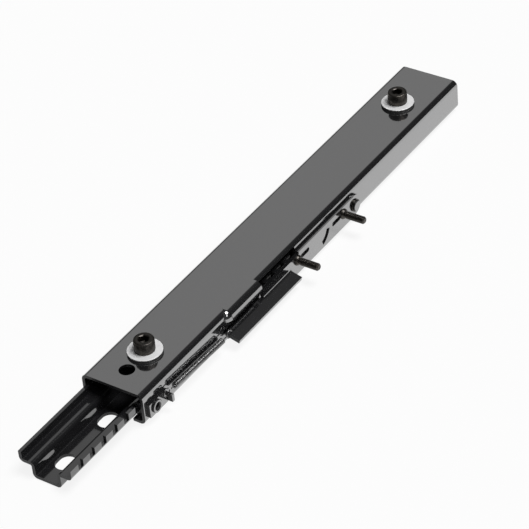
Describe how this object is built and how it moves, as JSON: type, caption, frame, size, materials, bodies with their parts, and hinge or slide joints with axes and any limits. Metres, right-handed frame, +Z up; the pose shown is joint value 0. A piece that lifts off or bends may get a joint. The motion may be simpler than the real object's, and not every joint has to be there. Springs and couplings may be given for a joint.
{
  "type": "seat slide rail",
  "caption": "Black steel seat slide: a channel that runs on a notched floor rail, with seat screws on top and a sprung lever latch on its side.",
  "frame": {"origin": "on the floor, under the middle of the floor rail", "axes": "+X to the latch side, +Y to the rear of the vehicle along the rail, +Z up"},
  "size_m": [0.0628, 0.431, 0.0332],
  "materials": {
    "rail_paint": "semi-gloss black powder coat",
    "channel_paint": "semi-gloss black powder coat",
    "lever_paint": "semi-gloss black powder coat",
    "zinc": "bright zinc plate",
    "black_oxide": "black oxide, slightly oily",
    "spring_steel": "black spring wire",
    "nylon": "black nylon"
  },
  "bodies": {
    "rail": {"lower_rail": "rail_paint", "left_rear_shoe": "nylon", "right_rear_shoe": "nylon"},
    "channel": {"upper_rail": "channel_paint", "left_front_shoe": "nylon", "right_front_shoe": "nylon", "stop_pin": "zinc", "front_weld_nut": "zinc", "rear_weld_nut": "zinc", "front_washer": "zinc", "rear_washer": "zinc", "front_seat_screw": "black_oxide", "rear_seat_screw": "black_oxide", "spring_bracket": "rail_paint", "spring_eyelet": "channel_paint", "return_spring": "spring_steel", "pivot_rivet": "black_oxide", "pivot_washer": "black_oxide"},
    "latch": {"latch_lever": "lever_paint", "front_bar_stud": "black_oxide", "rear_bar_stud": "black_oxide"}
  },
  "joints": [
    {"name": "seat_slide", "type": "slide", "parent": "rail", "child": "channel", "axis": [0, 1, 0], "range_m": [-0.066, 0.066]},
    {"name": "latch_lift", "type": "hinge", "parent": "channel", "child": "latch", "pos_m": [0.0235, 0.1115, 0.0112], "axis": [-1, 0, 0], "range_deg": [0, 2.4], "stiffness_Nm_per_rad": 2, "springref_deg": -5.73, "deforming": ["return_spring"]}
  ]
}
